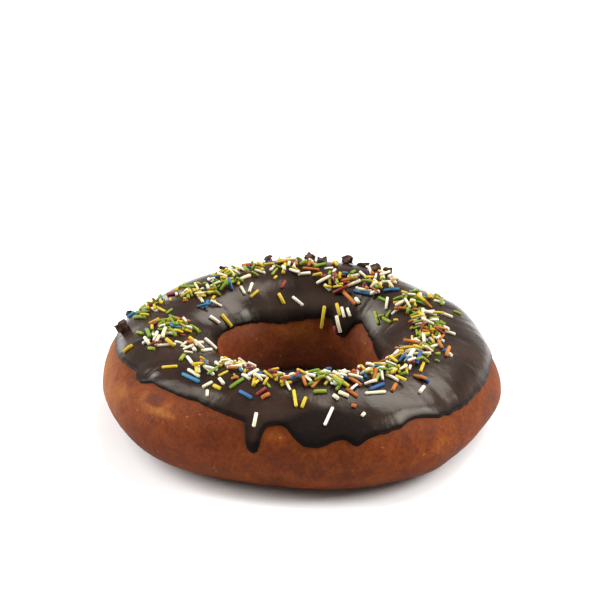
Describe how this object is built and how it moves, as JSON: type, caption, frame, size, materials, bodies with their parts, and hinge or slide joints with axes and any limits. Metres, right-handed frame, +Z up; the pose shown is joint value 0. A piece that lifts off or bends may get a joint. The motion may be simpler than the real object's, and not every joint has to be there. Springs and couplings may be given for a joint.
{
  "type": "sprinkle frosted doughnut",
  "caption": "Fried ring doughnut with a flat-bottomed round section, chocolate icing that drips over the shoulder, sugar strands and chocolate flakes.",
  "frame": {"origin": "centre of the footprint, on the surface that the doughnut rests on", "axes": "+Z up out of the iced top, through the hole; +X to the right and +Y away as the doughnut is seen from its front, the side with the long drip"},
  "size_m": [0.1106, 0.1096, 0.0306],
  "materials": {
    "dough": "fried golden-brown crust, satin with a little oil",
    "icing": "set dark chocolate icing, soft gloss",
    "strand_white": "cream-white sugar strand",
    "strand_yellow": "yellow sugar strand",
    "strand_green": "leaf-green sugar strand",
    "strand_orange": "orange sugar strand",
    "strand_blue": "blue sugar strand",
    "strand_red": "crimson sugar strand",
    "chocolate": "broken flake of dark chocolate"
  },
  "bodies": {
    "root": {"dough": "dough", "icing": "icing"}
  },
  "joints": []
}
